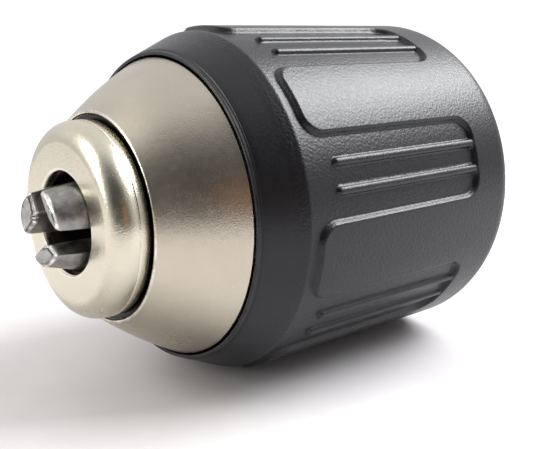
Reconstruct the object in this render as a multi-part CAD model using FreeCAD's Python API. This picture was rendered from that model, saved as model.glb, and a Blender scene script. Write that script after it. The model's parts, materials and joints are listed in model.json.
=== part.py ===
import FreeCAD
import Part

import math
import os

# Keyless drill chuck for 10 mm tools, with a 3/8-24 spindle thread.
#
# Every piece is modelled on the turning axis first: the axis is Z, the tail face is
# z = 0 and the nose is towards +Z. place() then lays the chuck down, so that in the
# part's own frame the nose points to -Y, +Z is up, and the origin is the middle of the
# tail face. Lengths are in millimetres and angles in degrees. Angles about the axis are
# measured from +X towards the frame's +Z.

Vector = FreeCAD.Vector
AXIS = Vector(0, 0, 1)
CENTRE = Vector(0, 0, 0)

# ---- jaws and their screw thread -------------------------------------------------
jaw_count = 3
jaw_radius = 3.0            # round rod that each jaw is ground from
jaw_angle = 15.0            # between a jaw and the chuck's axis
jaw_turn = 42.7             # where jaw 1 stands about the axis
half_opening_now = 1.85     # axis to a gripping land, as the chuck is modelled
half_opening_shut = 0.4     # the smallest tool
half_opening_full = 5.0     # the largest tool
tip_thickness = 2.1         # of a jaw's end, measured from its land outwards
tip_stand_out = 2.4         # jaw ends beyond the nose cap's face, as modelled
tip_chamfer = 0.2
land_half_width = 0.6       # of the narrow gripping land
land_groove = 0.16          # depth of the two grooves along the land
thread_pitch = 1.6          # along the chuck's axis
tooth_depth = 0.75
tooth_gap_outer = 1.0       # width of a jaw's tooth gap at the rod's surface
tooth_gap_inner = 0.35      # and at its bottom
thread_side_gap = 0.1       # play between a jaw tooth and the nut, each side
thread_root_gap = 0.14      # play between crests and roots
jaw_hole_gap = 0.04         # radial play of a jaw in its passage

# ---- chuck body ---------------------------------------------------------------------
spindle_major_radius = 4.7625   # 3/8 inch spindle thread
spindle_gap = 0.02
spindle_depth = 14.5
screw_hole_radius = 2.75        # left-hand retaining screw passes here
screw_web = 3.5                 # metal between the spindle bore and the throat
throat_gap = 0.1                # throat beyond the largest tool, radially
tail_radius = 9.3
tail_step = 0.4                 # shoulder that the rear cover seats on
tail_length = 17.0              # tail face to the flange
flange_thickness = 3.0
flange_rim = 0.25               # flange beyond the ball track's outer edge
neck_wall = 0.35                # neck below the nut's thread crest
shoulder_wall = 0.53            # nose shoulder beyond the jaws' outer edge
shoulder_length = 1.8
nose_wall = 0.88                # slim nose beyond the jaws' outer edge
nose_ramp = 1.0
nose_length = 16.9              # shoulder to the body's front face
edge_chamfer = 0.5

# ---- ball bearing ---------------------------------------------------------------------
ball_count = 24
ball_radius = 1.0
ball_gap = 0.02
track_depth = 0.2
race_thickness = 1.0
race_rim = 0.15
race_inner_gap = 0.23       # race bore beyond the jaws' outer edge
cage_thickness = 0.9
cage_gap = 0.1

# ---- nut ------------------------------------------------------------------------------
nut_height = 7.2
nut_play = 0.4              # nut to the nose shoulder
nut_foot_height = 1.4
nut_wall = 1.28             # outside the thread's root, at the nut's rear
nut_foot_rim = 1.6          # foot beyond the nut's barrel
band_wall = 1.1
band_height = 4.8
drive_slot_width = 3.4
drive_slot_depth = 2.2
drive_slot_gap = 0.1

# ---- drive ring -----------------------------------------------------------------------
ring_gap = 0.1              # running fit on the flange
ring_wall = 0.7
ring_web = 1.2
ring_web_gap = 0.6          # web to the nut's front face
ring_skirt = 0.2            # ring in front of the flange's rear face
nose_gap = 0.25             # web bore beyond the nose shoulder

# ---- nose cap and nose shell ----------------------------------------------------------
cap_sheet = 0.9
cap_pilot = 0.43            # step from the nose down to the cap's seat
cap_height = 3.6            # face to the skirt's end
cap_shoulder = 2.1          # outside radius of the cap's rounded shoulder
cap_hole_gap = 0.05         # cap hole beyond the body's throat
cap_rim_height = 2.9        # face to the shell's front edge
shell_sheet = 0.9
shell_angle = 33.6          # cone's half angle
shell_ring_gap = 0.42       # dark gap between the cap and the shell
shell_lip = 0.8             # radius of the shell's rounded front edge
shell_flange_gap = 0.15     # shell's flange to the nose
shell_flange_play = 0.3     # shell's flange behind the cap's skirt
shell_rim_overhang = 0.45   # shell's rear rim beyond its skirt
shell_skirt_gap = 0.83       # skirt's rear end to the drive ring

# ---- grip sleeve ----------------------------------------------------------------------
sleeve_rear = 1.0           # tail face to the sleeve's rear face
sleeve_wall = 2.7           # at the rear, over the panels
jaw_sweep_gap = 0.62        # sleeve bore beyond the open jaws' rear ends
rear_round = 2.4
sleeve_step = 0.5           # bore is this much smaller in front of the drive ring
groove_gap = 0.25           # round the shell's rear rim
groove_depth = 0.6
lip_width = 0.35
lip_set_back = 0.2          # sleeve's front face behind the shell's rim
recess_depth = 0.55
corner_round = 0.9
bevel_angle = 23.8          # of the sleeve's front, to the axis
band_width = 0.8            # smooth band in front of the panels
panel_count = 7
finger_turn = 14.9          # where one ribbed recess stands about the axis
finger_half_width = 3.95    # of a ribbed recess, at its floor
finger_rear = 7.2           # recess end to the sleeve's rear face
finger_corner = 1.7
panel_corner = 2.4
wall_draft = 0.9            # how far a recess wall leans out for its height
rib_spacing = 2.84
rib_radius = 0.45
rib_set_back = 2.9          # rib ends behind the panels' front edge

# ---- rear cover and snap ring ---------------------------------------------------------
cover_front = 2.6           # tail face to the shoulder that the cover seats on
cover_thickness = 0.8
cover_gap = 0.3             # radial gap to the turning sleeve
cover_dish = 0.6            # how far the outer part stands forward
snap_wire = 0.8
snap_groove = 0.5
snap_rise = 0.9
snap_opening = 60.0

# ---- worked out from the above -----------------------------------------------------------
lean = math.tan(math.radians(jaw_angle))
cos_jaw = math.cos(math.radians(jaw_angle))
sin_jaw = math.sin(math.radians(jaw_angle))
jaw_half_section = jaw_radius / cos_jaw

flange_front = tail_length + flange_thickness
rear_race_front = flange_front + race_thickness
ball_z = rear_race_front - track_depth + ball_radius
front_race_rear = ball_z + ball_radius - track_depth
nut_rear = front_race_rear + race_thickness
nut_front = nut_rear + nut_height
shoulder_z = nut_front + nut_play
body_front = shoulder_z + nose_length
cap_face = body_front + cap_sheet
tip_z = cap_face + tip_stand_out

# the jaws' centre lines cross the chuck's axis here
apex_z = tip_z + (half_opening_now + tip_thickness - jaw_half_section) / lean


def jaw_centre(z):
    """How far a jaw's centre line is from the axis."""
    return (apex_z - z) * lean


def jaw_outside(z):
    """How far out the jaws' outer edge runs."""
    return jaw_centre(z) + jaw_half_section


travel_shut = (half_opening_now - half_opening_shut) / lean    # along the axis
travel_open = (half_opening_full - half_opening_now) / lean
jaw_length = tip_z + travel_shut - (nut_rear + nut_wall)       # along the axis
jaw_rear = tip_z - jaw_length
jaw_rear_open = jaw_rear - travel_open

throat_radius = half_opening_full + throat_gap
spindle_radius = spindle_major_radius + spindle_gap
crest_cut = (tooth_depth - thread_root_gap) / cos_jaw          # nut thread, inside the jaws' edge
neck_radius = jaw_outside(nut_front) - crest_cut - neck_wall
shoulder_radius = jaw_outside(shoulder_z) + shoulder_wall
nose_radius = jaw_outside(shoulder_z + shoulder_length + nose_ramp) + nose_wall
pilot_radius = nose_radius - cap_pilot
cap_radius = pilot_radius + cap_sheet
cap_hole = throat_radius + cap_hole_gap
cap_end = cap_face - cap_height

race_inner = jaw_outside(flange_front) + race_inner_gap
track_radius = race_inner + race_rim + ball_radius
race_outer = track_radius + ball_radius + race_rim
flange_radius = track_radius + ball_radius + flange_rim

thread_root = thread_root_gap / cos_jaw                        # nut thread, outside the jaws' edge
nut_radius = jaw_outside(nut_rear) + thread_root + nut_wall
nut_foot_radius = nut_radius + nut_foot_rim
band_radius = nut_radius + band_wall

ring_inner = flange_radius + ring_gap
ring_outer = ring_inner + ring_wall
ring_web_rear = nut_front + ring_web_gap
ring_front = ring_web_rear + ring_web
ring_bore = shoulder_radius + nose_gap

skirt_radius = ring_outer - sleeve_step
shell_rim_radius = skirt_radius + shell_rim_overhang
shell_slope = math.tan(math.radians(shell_angle))
shell_front = cap_face - cap_rim_height
shell_small = cap_radius + shell_ring_gap
shell_rim_z = shell_front - (shell_rim_radius - shell_small) / shell_slope

sleeve_bore = jaw_outside(jaw_rear_open) + jaw_sweep_gap
sleeve_radius = sleeve_bore + sleeve_wall
floor_radius = sleeve_radius - recess_depth
sleeve_front = shell_rim_z - lip_set_back
lip_outer = shell_rim_radius + groove_gap + lip_width
corner_z = sleeve_front - (floor_radius - lip_outer) / math.tan(math.radians(bevel_angle))
panel_front = corner_z - band_width


# ---- small helpers ----------------------------------------------------------------------
def turned(points):
    """A solid turned from a closed outline of (radius, z) points."""
    outline = Part.makePolygon([Vector(r, 0, z) for r, z in points + points[:1]])
    return Part.Face(outline).revolve(CENTRE, AXIS, 360)


def tube(inner, outer, low, high):
    return turned([(inner, low), (outer, low), (outer, high), (inner, high)])


def disc(radius, low, high):
    return Part.makeCylinder(radius, high - low, Vector(0, 0, low))


def about_axis(shape, degrees):
    copy = shape.copy()
    copy.rotate(CENTRE, AXIS, degrees)
    return copy


def arc_edge(centre, radius, start, end, across=Vector(1, 0, 0), up=AXIS):
    """An arc about centre, from start to end degrees, measured from across towards up."""
    def at(degrees):
        a = math.radians(degrees)
        return centre + across * (radius * math.cos(a)) + up * (radius * math.sin(a))
    return Part.Arc(at(start), at((start + end) / 2), at(end)).toShape()


def joined(pieces):
    """Edges and points in order, joined by straight lines, as one closed wire."""
    edges = []
    last = first = None
    for piece in pieces:
        start = piece if isinstance(piece, Vector) else piece.firstVertex(True).Point
        end = piece if isinstance(piece, Vector) else piece.lastVertex(True).Point
        if last is not None and last.distanceToPoint(start) > 1e-7:
            edges.append(Part.makeLine(last, start))
        if not isinstance(piece, Vector):
            edges.append(piece)
        first = start if first is None else first
        last = end
    if last.distanceToPoint(first) > 1e-7:
        edges.append(Part.makeLine(last, first))
    return Part.Wire(edges)


def turned_wire(pieces):
    return Part.Face(joined(pieces)).revolve(CENTRE, AXIS, 360)


def flat(r, z):
    return Vector(r, 0, z)


# ---- jaws ---------------------------------------------------------------------------------
def jaw_direction():
    """Along a jaw that stands at 0 degrees, towards the nose and the axis."""
    return Vector(-sin_jaw, 0, cos_jaw)


def rod(radius, low, high):
    """A round rod on the jaw's centre line, between two heights."""
    start = Vector(jaw_centre(low), 0, low)
    return Part.makeCylinder(radius, (high - low) / cos_jaw, start, jaw_direction())


def land_prism():
    """The space that a jaw may fill: outside its land and the two faces beside it."""
    far = 40.0
    side = 8.0
    rise = (side - land_half_width) / math.tan(math.radians(180 / jaw_count))
    step = land_half_width * 2 / 5
    low, deep = half_opening_now, half_opening_now + land_groove
    land = [(low, land_half_width), (low, step * 1.5), (deep, step), (low, step / 2)]
    outline = [(low + rise, side)] + land
    outline += [(x, -y) for x, y in reversed(outline)]
    outline += [(far, -side), (far, side)]
    points = [Vector(x, y, jaw_rear - far) for x, y in outline]
    face = Part.Face(Part.makePolygon(points + points[:1]))
    return face.extrude(Vector(0, 0, tip_z - jaw_rear + 2 * far))


def tooth_gap(z):
    """One gap between teeth: a turned groove, tipped to the thread's slope."""
    along, out = Vector(-sin_jaw, 0, cos_jaw), Vector(cos_jaw, 0, sin_jaw)
    surface = Vector(jaw_outside(z), 0, z)
    spread = (tooth_gap_outer - tooth_gap_inner) / tooth_depth
    margin = 0.6
    rows = [(-tooth_depth, tooth_gap_inner), (margin, tooth_gap_outer + spread * margin)]
    corners = [surface + out * depth + along * (side * width / 2)
               for depth, width in rows for side in ((1, -1) if depth < 0 else (-1, 1))]
    face = Part.Face(Part.makePolygon(corners + corners[:1]))
    face.rotate(CENTRE, AXIS, -30)
    groove = face.revolve(CENTRE, AXIS, 60)
    slope = math.degrees(math.atan(thread_pitch / (2 * math.pi * jaw_outside(z))))
    groove.rotate(surface, Vector(1, 0, 0), slope)
    return groove


def jaw(number):
    """A jaw with its teeth cut to the place of the nut's thread at its own angle."""
    turn = jaw_turn + 360.0 / jaw_count * number
    blank = rod(jaw_radius, jaw_rear - jaw_radius, tip_z + jaw_radius)
    blank = blank.cut(disc(apex_z, jaw_rear - 2 * jaw_radius, jaw_rear))
    land_tip = Vector(half_opening_now, 0, tip_z)
    beyond = Part.makeCylinder(4 * jaw_radius, 4 * jaw_radius, land_tip, jaw_direction())
    blank = blank.cut(beyond).common(land_prism())
    rim = [e for e in blank.Edges
           if e.CenterOfMass.z > tip_z - tip_chamfer and e.Curve.TypeId != "Part::GeomLine"]
    blank = blank.makeChamfer(tip_chamfer, rim)
    phase = nut_rear + thread_pitch * turn / 360.0
    low = jaw_rear - thread_pitch
    first = math.floor((low - phase) / thread_pitch)
    toothed_front = nut_front + travel_open + thread_pitch
    count = int((toothed_front - low) / thread_pitch) + 1
    gaps = [tooth_gap(phase + (first + i) * thread_pitch) for i in range(count)]
    toothed = blank.cut(Part.makeCompound(gaps))
    return about_axis(toothed, turn)


# ---- chuck body ------------------------------------------------------------------------------
def chuck_body():
    step_radius = tail_radius + tail_step
    groove_rear = cover_front - cover_thickness - snap_wire
    outline = [
        (0, 0), (tail_radius - edge_chamfer, 0), (tail_radius, edge_chamfer),
        (tail_radius, groove_rear), (tail_radius - snap_groove, groove_rear),
        (tail_radius - snap_groove, groove_rear + snap_wire),
        (tail_radius, groove_rear + snap_wire), (tail_radius, cover_front),
        (step_radius, cover_front), (step_radius, tail_length - edge_chamfer),
        (step_radius + edge_chamfer, tail_length), (flange_radius, tail_length),
        (flange_radius, flange_front), (neck_radius, flange_front),
        (neck_radius, shoulder_z), (shoulder_radius, shoulder_z),
        (shoulder_radius, shoulder_z + shoulder_length),
        (nose_radius, shoulder_z + shoulder_length + nose_ramp), (nose_radius, cap_end),
        (pilot_radius, cap_end), (pilot_radius, body_front - cap_shoulder + cap_sheet - 0.1),
        (pilot_radius - cap_shoulder + cap_sheet - 0.1, body_front), (0, body_front),
    ]
    solid = turned(outline)
    throat_floor = spindle_depth + screw_web
    solid = solid.cut(disc(throat_radius, throat_floor, body_front + 1))
    solid = solid.cut(disc(screw_hole_radius, -1, throat_floor + 1))
    solid = solid.cut(disc(spindle_radius, -1, spindle_depth))
    passage = rod(jaw_radius + jaw_hole_gap, -12, apex_z + 12)
    for number in range(jaw_count):
        solid = solid.cut(about_axis(passage, jaw_turn + 360.0 / jaw_count * number))
    return solid


def nose_cap():
    """Pressed from sheet: a flat face, a rounded shoulder and a short skirt."""
    outer = flat(cap_radius - cap_shoulder, cap_face - cap_shoulder)
    inner_round = cap_shoulder - cap_sheet
    outline = [
        flat(cap_hole, cap_face - 0.15), flat(cap_hole + 0.15, cap_face),
        arc_edge(outer, cap_shoulder, 90, 0), flat(cap_radius, cap_end),
        flat(pilot_radius, cap_end), arc_edge(outer, inner_round, 0, 90),
        flat(cap_hole, body_front),
    ]
    return turned_wire(outline)


def rear_cover():
    """A dished dust plate on the tail's shoulder."""
    rear = cover_front - cover_thickness
    outside = sleeve_bore - cover_gap
    bend = (tail_radius + outside) / 2
    return turned([
        (tail_radius, rear), (bend, rear), (bend + cover_dish, rear + cover_dish),
        (outside, rear + cover_dish), (outside, cover_front + cover_dish),
        (bend + cover_dish - 0.4, cover_front + cover_dish),
        (bend - 0.4, cover_front), (tail_radius, cover_front),
    ])


def snap_ring():
    """Open wire ring that holds the rear cover, in the tail's groove."""
    rear = cover_front - cover_thickness - snap_wire
    ring = tube(tail_radius - snap_groove, tail_radius + snap_rise, rear, rear + snap_wire)
    opening = Part.makeCylinder(40, 10, Vector(0, 0, -2), AXIS, snap_opening)
    return ring.cut(about_axis(opening, 270 - snap_opening / 2))


# ---- ball bearing ----------------------------------------------------------------------------
def track():
    return Part.makeTorus(track_radius, ball_radius + ball_gap, Vector(0, 0, ball_z))


def rear_race():
    return tube(race_inner, race_outer, flange_front, rear_race_front).cut(track())


def front_race():
    return tube(race_inner, race_outer, front_race_rear, nut_rear).cut(track())


def ball_place(number):
    a = math.radians(360.0 / ball_count * number)
    return Vector(track_radius * math.cos(a), track_radius * math.sin(a), ball_z)


def ball(number):
    return Part.makeSphere(ball_radius, ball_place(number))


def ball_cage():
    half = cage_thickness / 2
    ring = tube(race_inner + cage_gap, race_outer - cage_gap, ball_z - half, ball_z + half)
    pockets = [Part.makeSphere(ball_radius + ball_gap, ball_place(n)) for n in range(ball_count)]
    return ring.cut(Part.makeCompound(pockets))


# ---- nut --------------------------------------------------------------------------------------
def thread_groove():
    """The nut's thread: a groove wound on the jaws' cone, one pitch a turn."""
    pitch_along = thread_pitch / cos_jaw
    spread = (tooth_gap_outer - tooth_gap_inner) / tooth_depth
    extra = 0.2
    levels = [thread_root_gap, -(tooth_depth - thread_root_gap) - extra]
    widths = [pitch_along - (tooth_gap_outer - 2 * thread_side_gap + spread * level)
              for level in levels]
    along, out = Vector(-sin_jaw, 0, cos_jaw), Vector(cos_jaw, 0, sin_jaw)
    turns = math.ceil(nut_height / thread_pitch) + 3
    high = nut_rear + (turns - 1.5) * thread_pitch
    start = Vector(jaw_outside(high), 0, high)
    corners = [start + out * level + along * (side * width / 2)
               for level, width, sides in zip(levels, widths, ((1, -1), (-1, 1)))
               for side in sides]
    outline = Part.makePolygon(corners + corners[:1])
    # a cone's helix takes its pitch along the cone and widens as it is wound, so it is
    # wound from the front and turned over
    path = Part.makeHelix(pitch_along, turns * thread_pitch, start.x, jaw_angle)
    path.rotate(CENTRE, Vector(1, 0, 0), 180)
    path.translate(Vector(0, 0, high))
    return Part.Wire(path).makePipeShell([outline], True, True)


def nut():
    crest_rear = jaw_outside(nut_rear) - crest_cut
    crest_front = jaw_outside(nut_front) - crest_cut
    foot_top = nut_rear + nut_foot_height
    blank = turned([
        (crest_rear, nut_rear), (nut_foot_radius, nut_rear), (nut_foot_radius, foot_top),
        (nut_radius, foot_top), (nut_radius, nut_front), (crest_front, nut_front),
    ])
    slot = Part.makeBox(4 * nut_radius, drive_slot_width, drive_slot_depth,
                        Vector(-2 * nut_radius, -drive_slot_width / 2,
                               nut_front - drive_slot_depth))
    return blank.cut(thread_groove()).cut(slot)


def nut_halves():
    """The nut is broken in two across its drive slots' line, so that it can go round the neck."""
    whole = nut()
    size = 3 * nut_radius
    upper = Part.makeBox(size, size / 2, size, Vector(-size / 2, 0, nut_rear - 2))
    lower = Part.makeBox(size, size / 2, size, Vector(-size / 2, -size / 2, nut_rear - 2))
    return whole.common(upper), whole.common(lower)


def nut_band():
    low = nut_rear + nut_foot_height
    return tube(nut_radius, band_radius, low, low + band_height)


# ---- turning sleeve ---------------------------------------------------------------------------
def drive_ring():
    """Steel cup in the sleeve: runs on the flange and turns the nut by two dogs."""
    cup = turned([
        (ring_inner, tail_length + ring_skirt), (ring_outer, tail_length + ring_skirt),
        (ring_outer, ring_front), (ring_bore, ring_front), (ring_bore, ring_web_rear),
        (ring_inner, ring_web_rear),
    ])
    dog_low = nut_front - drive_slot_depth + drive_slot_gap
    dog_width = drive_slot_width - 2 * drive_slot_gap
    dog = Part.makeBox(4 * nut_radius, dog_width, ring_web_rear + 0.2 - dog_low,
                       Vector(-2 * nut_radius, -dog_width / 2, dog_low))
    reach = tube(ring_bore, nut_radius - drive_slot_gap, dog_low, ring_web_rear + 0.2)
    return cup.fuse(dog.common(reach)).removeSplitter()


def nose_shell():
    """Sheet cone over the nose, with a rounded front edge, an inner flange and a skirt."""
    a = math.radians(shell_angle)
    wall = shell_sheet / math.cos(a)
    skirt_inner = skirt_radius - shell_sheet
    flange_front_z = cap_end - shell_flange_play
    flange_inner = nose_radius + shell_flange_gap
    lip_centre = flat(shell_small + shell_lip, 0)
    lip_centre.z = (shell_front - (lip_centre.x - shell_small) / shell_slope
                    - shell_lip / math.sin(a))
    lip_centre.z = max(lip_centre.z, flange_front_z + 0.05)

    def inner_r(z):
        return shell_small + (shell_front - z) * shell_slope - wall
    flange_rear_z = flange_front_z - shell_sheet
    inner_end = shell_front - (skirt_inner + wall - shell_small) / shell_slope
    outline = [
        flat(flange_inner, flange_front_z), flat(shell_small, flange_front_z),
        arc_edge(lip_centre, shell_lip, 180, 90 - shell_angle),
        flat(shell_rim_radius, shell_rim_z), flat(shell_rim_radius, shell_rim_z - 0.3),
        flat(skirt_radius, shell_rim_z - 0.3),
        flat(skirt_radius, ring_front + shell_skirt_gap),
        flat(skirt_inner, ring_front + shell_skirt_gap), flat(skirt_inner, inner_end),
        flat(max(inner_r(flange_rear_z), flange_inner + 0.2), flange_rear_z),
        flat(flange_inner, flange_rear_z),
    ]
    return turned_wire(outline)


def finger_outline(spread, height):
    """The outline of a ribbed recess, on a plane that faces +X, opened out by spread."""
    half = finger_half_width + spread
    rear = sleeve_rear + finger_rear - spread
    rear_round_now = finger_corner + spread
    front_round = panel_corner - spread
    front = panel_front + spread
    beyond = corner_z + 3.0
    y, z = Vector(0, 1, 0), AXIS

    def at(across, up):
        return Vector(height, across, up)
    wide = half + front_round
    return joined([
        arc_edge(at(half - rear_round_now, rear + rear_round_now), rear_round_now, -90, 0, y, z),
        arc_edge(at(wide, front - front_round), front_round, 180, 90, y, z),
        at(wide, beyond), at(-wide, beyond),
        arc_edge(at(-wide, front - front_round), front_round, 90, 0, y, z),
        arc_edge(at(-half + rear_round_now, rear + rear_round_now), rear_round_now,
                 180, 270, y, z),
    ])


def finger_cutter():
    """Cuts one ribbed recess down to the floor, with walls that lean outwards."""
    low, high = floor_radius - 1.0, floor_radius + 1.6
    wires = [finger_outline((h - floor_radius) * wall_draft, h) for h in (low, high)]
    prism = Part.makeLoft(wires, True, True)
    return prism.cut(disc(floor_radius, -1, cap_face))


def rib(across):
    """A thin rib with a rounded front end, on the floor of a recess."""
    place = math.asin(across / floor_radius)
    x, y = floor_radius * math.cos(place), floor_radius * math.sin(place)
    front = panel_front - rib_set_back
    rear = sleeve_rear + finger_rear - recess_depth
    bar = Part.makeCylinder(rib_radius, front - rear, Vector(x, y, rear))
    return bar.fuse(Part.makeSphere(rib_radius, Vector(x, y, front)))


def grip_sleeve():
    rear_centre = flat(sleeve_radius - rear_round, sleeve_rear + rear_round)
    a = math.radians(bevel_angle)
    tangent = corner_round * math.tan(a / 2)
    corner_centre = flat(floor_radius - corner_round, corner_z - tangent)
    wall_top = panel_front - recess_depth * wall_draft
    groove_outer = shell_rim_radius + groove_gap
    outline = [
        flat(sleeve_bore, sleeve_rear), arc_edge(rear_centre, rear_round, 270, 360),
        flat(sleeve_radius, wall_top), flat(floor_radius, panel_front),
        arc_edge(corner_centre, corner_round, 0, bevel_angle),
        flat(lip_outer, sleeve_front), flat(groove_outer, sleeve_front),
        flat(groove_outer, sleeve_front - groove_depth),
        flat(skirt_radius, sleeve_front - groove_depth), flat(skirt_radius, ring_front),
        flat(ring_outer, ring_front), flat(ring_outer, tail_length + ring_skirt),
        flat(sleeve_bore, tail_length + ring_skirt),
    ]
    solid = turned_wire(outline)
    cutter = finger_cutter()
    for number in range(panel_count):
        turn = finger_turn + 360.0 / panel_count * number
        solid = solid.cut(about_axis(cutter, turn))
    ribs = []
    for number in range(panel_count):
        turn = finger_turn + 360.0 / panel_count * number
        for across in (-rib_spacing / 2, rib_spacing / 2):
            ribs.append(about_axis(rib(across), turn))
    return solid.fuse(ribs).removeSplitter()


# ---- writing the pieces -------------------------------------------------------------------------
def place(shape):
    """Lay the chuck down: nose to -Y, +Z up."""
    laid = shape.copy()
    laid.rotate(CENTRE, Vector(1, 0, 0), 90)
    return laid


def pieces():
    """Every piece by its node's name."""
    upper_half, lower_half = nut_halves()
    made = {
        "chuck_body": chuck_body(),
        "nose_cap": nose_cap(),
        "rear_cover": rear_cover(),
        "snap_ring": snap_ring(),
        "rear_race": rear_race(),
        "front_race": front_race(),
        "ball_cage": ball_cage(),
        "nut_half_upper": upper_half,
        "nut_half_lower": lower_half,
        "nut_band": nut_band(),
        "drive_ring": drive_ring(),
        "nose_shell": nose_shell(),
        "grip_sleeve": grip_sleeve(),
    }
    for number in range(ball_count):
        made[f"ball_{number + 1:02d}"] = ball(number)
    for number in range(jaw_count):
        made[f"jaw_{number + 1}"] = jaw(number)
    return made


def main():
    os.makedirs("parts", exist_ok=True)
    for name, shape in pieces().items():
        solids = shape.Solids
        if not solids or not all(s.isValid() for s in solids):
            raise ValueError(f"{name} isn't a valid solid")
        out = solids[0] if len(solids) == 1 else Part.makeCompound(solids)
        place(out).exportStep(f"parts/{name}.step")
        print(name, len(solids), round(sum(s.Volume for s in solids), 2))


main()
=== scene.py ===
import bpy
import json
import math
import numpy as np
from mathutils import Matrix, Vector


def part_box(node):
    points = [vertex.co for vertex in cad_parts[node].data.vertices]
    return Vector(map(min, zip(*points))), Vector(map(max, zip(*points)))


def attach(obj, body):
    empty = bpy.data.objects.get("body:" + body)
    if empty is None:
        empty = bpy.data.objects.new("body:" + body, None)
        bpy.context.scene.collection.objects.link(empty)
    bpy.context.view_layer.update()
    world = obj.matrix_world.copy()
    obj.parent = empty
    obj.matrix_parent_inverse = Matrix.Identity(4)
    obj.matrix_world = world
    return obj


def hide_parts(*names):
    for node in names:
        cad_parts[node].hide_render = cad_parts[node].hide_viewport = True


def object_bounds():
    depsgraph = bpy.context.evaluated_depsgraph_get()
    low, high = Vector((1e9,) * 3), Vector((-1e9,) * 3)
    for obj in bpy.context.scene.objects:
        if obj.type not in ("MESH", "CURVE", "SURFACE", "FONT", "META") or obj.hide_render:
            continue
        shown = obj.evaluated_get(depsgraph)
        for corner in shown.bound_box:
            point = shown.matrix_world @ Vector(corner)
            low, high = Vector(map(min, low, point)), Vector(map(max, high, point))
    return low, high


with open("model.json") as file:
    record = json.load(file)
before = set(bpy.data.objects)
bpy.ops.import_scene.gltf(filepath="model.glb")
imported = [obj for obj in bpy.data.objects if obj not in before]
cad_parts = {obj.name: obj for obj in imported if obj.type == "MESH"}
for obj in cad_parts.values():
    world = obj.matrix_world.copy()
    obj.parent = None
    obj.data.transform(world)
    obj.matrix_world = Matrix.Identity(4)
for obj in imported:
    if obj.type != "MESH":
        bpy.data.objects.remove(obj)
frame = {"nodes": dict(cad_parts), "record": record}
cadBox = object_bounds()
print("frame loaded:", len(frame["nodes"]), "nodes")

mm = 0.001
sharpRound = 0.6    # a rounding of this size or less, in millimetres, is a full edge


# shapes
# The chuck's axis is the frame's Y. Outlines are drawn as (radius, forward) in
# millimetres, with forward counted from the tail face towards the nose, which is -Y.

def toFrame(radius, forward, angle):
    # a point is radius*cos(angle) across, radius*sin(angle) up and forward along -Y
    return np.stack(np.broadcast_arrays(radius * np.cos(angle), -forward,
                                        radius * np.sin(angle)), -1) * mm


def makeObject(name, points, faces, material, edge=None):
    # a smooth object at the origin; edge is one value for each point: 1 and more is a
    # rubbed edge, and on the sleeve's lip 2 is a painted highlight; -1 is deep inside the
    # chuck, where metal is painted dark as shade
    mesh = bpy.data.meshes.new(name)
    mesh.from_pydata(points.tolist(), [], faces)
    mesh.shade_smooth()
    if edge is not None:
        mesh.attributes.new("edge", "FLOAT", "POINT").data.foreach_set(
            "value", edge.astype(np.float32).ravel())
    mesh.materials.append(material)
    piece = bpy.data.objects.new(name, mesh)
    bpy.context.scene.collection.objects.link(piece)
    return piece


def volumeOf(points, quads):
    # six times the signed volume: each face's corners against the origin
    a, b, c, d = (points[quads[:, i]] for i in range(4))
    return (np.einsum("ij,ij->i", a, np.cross(b, c)).sum()
            + np.einsum("ij,ij->i", a, np.cross(c, d)).sum())


def closedGrid(name, grid, material, edge=None, capped=False):
    # grid[i, j] is row i round column j; columns join up, and rows join up too unless
    # the two ends are capped, each by a fan to its own middle point
    rows, columns = grid.shape[:2]
    points = grid.reshape(-1, 3)
    i = np.arange(rows - 1 if capped else rows)[:, None]
    j = np.arange(columns)[None, :]
    nextRow, nextColumn = (i + 1) % rows, (j + 1) % columns
    quads = np.stack([i * columns + j, i * columns + nextColumn,
                      nextRow * columns + nextColumn, nextRow * columns + j], -1)
    quads = quads.reshape(-1, 4)
    ring = np.arange(columns)
    lastRing = (rows - 1) * columns + ring
    flip = volumeOf(points, quads) < 0
    faces = (quads[:, ::-1] if flip else quads).tolist()
    if capped:
        count = len(points)
        points = np.concatenate([points, grid[0].mean(0)[None], grid[-1].mean(0)[None]])
        start = np.stack([np.full(columns, count), np.roll(ring, -1), ring], -1)
        end = np.stack([np.full(columns, count + 1), lastRing, np.roll(lastRing, -1)], -1)
        fans = np.concatenate([start, end])
        faces += (fans[:, ::-1] if flip else fans).tolist()
        if edge is not None:
            edge = np.append(edge.ravel(), [0.0, 0.0])
    return makeObject(name, points, faces, material, edge)


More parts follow.
